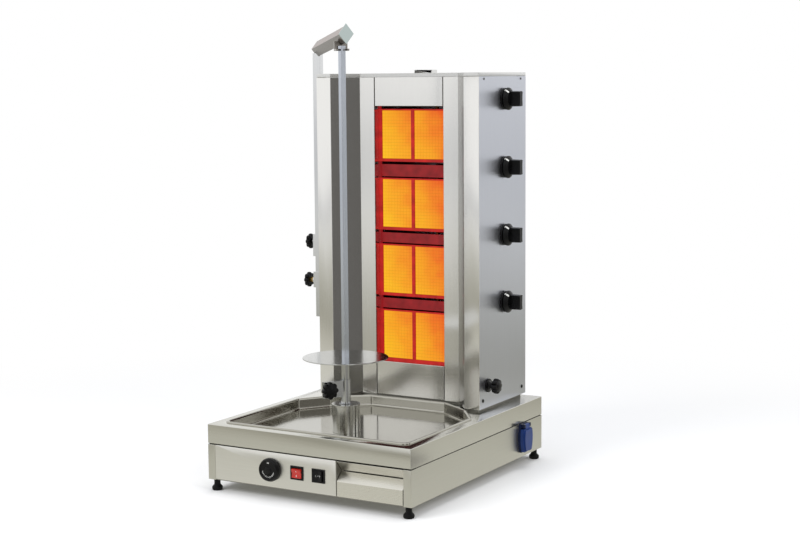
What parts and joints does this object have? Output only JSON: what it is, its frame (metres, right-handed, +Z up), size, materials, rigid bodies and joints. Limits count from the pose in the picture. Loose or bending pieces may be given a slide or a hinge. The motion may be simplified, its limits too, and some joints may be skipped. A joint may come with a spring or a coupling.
{
  "type": "upright electric skewer grill",
  "caption": "Upright spit grill: turning vertical skewer in front of infrared burners on a base with grease pan, controls and drawer.",
  "frame": {"origin": "centre of the footprint at floor level", "axes": "+Z up, -Y towards the user, +X to the user's right"},
  "size_m": [0.646, 0.766, 1.1955],
  "materials": {
    "steel_brushed": "satin, vertical grain",
    "steel_polished": "polished",
    "steel_inner": "mill",
    "burner_steel": "heat-tinted, glowing red",
    "ceramic_glow": "perforated, glowing",
    "black_plastic": "satin",
    "red_lens": "lit",
    "blue_plastic": "satin",
    "rubber_black": "matte",
    "brass_pipe": "as drawn",
    "bright_shaft": "ground",
    "motor_paint": "satin"
  },
  "bodies": {
    "frame": {"lower_casing": "steel_brushed", "base_bottom": "steel_brushed", "deck": "steel_brushed", "grease_pan": "steel_polished", "pan_spout": "steel_polished", "control_panel": "steel_brushed", "drawer_bay": "steel_brushed", "speed_control": "motor_paint", "red_switch": "black_plastic", "black_switch": "black_plastic", "outlet_box": "blue_plastic", "cable_gland": "black_plastic", "drive_column": "steel_brushed", "drive_bracket": "steel_inner", "gear_motor": "motor_paint", "heater_floor": "steel_inner", "tower_frame": "steel_inner", "side_panel_left": "steel_brushed", "side_panel_right": "steel_brushed", "front_columns": "steel_brushed", "front_panels": "steel_brushed", "burner_rails": "burner_steel", "back_panel": "steel_brushed", "top_cap": "steel_brushed", "panel_screws": "black_plastic", "burner_1": "burner_steel", "burner_2": "burner_steel", "burner_3": "burner_steel", "burner_4": "burner_steel", "plaques": "ceramic_glow", "gas_rail": "brass_pipe", "inlet_nut": "brass_pipe", "post_sleeves": "steel_brushed"},
    "spit": {"drive_shaft": "bright_shaft", "drive_gear": "brass_pipe", "spit_socket": "steel_brushed", "spit_bar": "steel_brushed", "spit_plate": "steel_polished"},
    "pinion": {"motor_pinion": "brass_pipe"},
    "socket_clamp": {"socket_knob": "black_plastic"},
    "upper_arm": {"arm_post": "steel_brushed", "spit_arm": "steel_brushed", "arm_fork": "black_plastic"},
    "post_clamp_upper": {"post_knob_upper": "black_plastic"},
    "post_clamp_lower": {"post_knob_lower": "black_plastic"},
    "tap_1": {"tap_knob_1": "black_plastic"},
    "tap_2": {"tap_knob_2": "black_plastic"},
    "tap_3": {"tap_knob_3": "black_plastic"},
    "tap_4": {"tap_knob_4": "black_plastic"},
    "tower_clamp": {"tower_knob": "black_plastic"},
    "speed_dial": {"speed_knob": "black_plastic"},
    "rocker_red": {"red_rocker": "red_lens"},
    "rocker_black": {"black_rocker": "black_plastic"},
    "drawer": {"drawer_box": "steel_brushed", "drawer_front": "steel_brushed"},
    "lid": {"outlet_lid": "blue_plastic"},
    "leveller_fl": {"foot_fl": "rubber_black"},
    "leveller_fr": {"foot_fr": "rubber_black"},
    "leveller_rl": {"foot_rl": "rubber_black"},
    "leveller_rr": {"foot_rr": "rubber_black"}
  },
  "joints": [
    {"name": "spit_spin", "type": "hinge", "parent": "frame", "child": "spit", "pos_m": [0, -0.175, 0.2], "axis": [0, 0, 1], "continuous": true},
    {"name": "motor_spin", "type": "hinge", "parent": "frame", "child": "pinion", "pos_m": [0.048, -0.175, 0.117], "axis": [0, 0, 1], "continuous": true},
    {"name": "socket_clamp_turn", "type": "hinge", "parent": "spit", "child": "socket_clamp", "pos_m": [-0.02633, -0.22668, 0.266], "axis": [0.891, -0.454, 0], "range_deg": [0, 360]},
    {"name": "arm_lift", "type": "slide", "parent": "frame", "child": "upper_arm", "axis": [0, 0, 1], "range_m": [0, 0.1]},
    {"name": "post_clamp_upper_turn", "type": "hinge", "parent": "frame", "child": "post_clamp_upper", "pos_m": [-0.295, 0.12, 0.607], "axis": [-1, 0, 0], "range_deg": [0, 360]},
    {"name": "post_clamp_lower_turn", "type": "hinge", "parent": "frame", "child": "post_clamp_lower", "pos_m": [-0.3, 0.12, 0.498], "axis": [-1, 0, 0], "range_deg": [0, 360]},
    {"name": "tap_1_turn", "type": "hinge", "parent": "frame", "child": "tap_1", "pos_m": [0.275, 0.24, 0.455], "axis": [1, 0, 0], "range_deg": [0, 180]},
    {"name": "tap_2_turn", "type": "hinge", "parent": "frame", "child": "tap_2", "pos_m": [0.275, 0.24, 0.6375], "axis": [1, 0, 0], "range_deg": [0, 180]},
    {"name": "tap_3_turn", "type": "hinge", "parent": "frame", "child": "tap_3", "pos_m": [0.275, 0.24, 0.82], "axis": [1, 0, 0], "range_deg": [0, 180]},
    {"name": "tap_4_turn", "type": "hinge", "parent": "frame", "child": "tap_4", "pos_m": [0.275, 0.24, 1.0025], "axis": [1, 0, 0], "range_deg": [0, 180]},
    {"name": "tower_clamp_turn", "type": "hinge", "parent": "frame", "child": "tower_clamp", "pos_m": [0.27, 0.14, 0.24], "axis": [1, 0, 0], "range_deg": [0, 360]},
    {"name": "speed_dial_turn", "type": "hinge", "parent": "frame", "child": "speed_dial", "pos_m": [-0.106, -0.37, 0.078], "axis": [0, 1, 0], "range_deg": [0, 270]},
    {"name": "rocker_red_tip", "type": "hinge", "parent": "frame", "child": "rocker_red", "pos_m": [-0.0265, -0.361, 0.078], "axis": [1, 0, 0], "range_deg": [-14, 0]},
    {"name": "rocker_black_tip", "type": "hinge", "parent": "frame", "child": "rocker_black", "pos_m": [0.0377, -0.361, 0.078], "axis": [0, 0, 1], "range_deg": [-7, 7]},
    {"name": "drawer_slide", "type": "slide", "parent": "frame", "child": "drawer", "axis": [0, -1, 0], "range_m": [0, 0.28]},
    {"name": "lid_swing", "type": "hinge", "parent": "frame", "child": "lid", "pos_m": [0.314, 0.245, 0.118], "axis": [0, -1, 0], "range_deg": [0, 110]},
    {"name": "leveller_fl_turn", "type": "hinge", "parent": "frame", "child": "leveller_fl", "pos_m": [-0.287, -0.351, 0.02], "axis": [0, 0, 1], "range_deg": [0, 360]},
    {"name": "leveller_fr_turn", "type": "hinge", "parent": "frame", "child": "leveller_fr", "pos_m": [0.287, -0.351, 0.02], "axis": [0, 0, 1], "range_deg": [0, 360]},
    {"name": "leveller_rl_turn", "type": "hinge", "parent": "frame", "child": "leveller_rl", "pos_m": [-0.287, 0.351, 0.02], "axis": [0, 0, 1], "range_deg": [0, 360]},
    {"name": "leveller_rr_turn", "type": "hinge", "parent": "frame", "child": "leveller_rr", "pos_m": [0.287, 0.351, 0.02], "axis": [0, 0, 1], "range_deg": [0, 360]}
  ],
  "couplings": [
    {"joint": "motor_spin", "follows": "spit_spin", "ratio": -3}
  ]
}
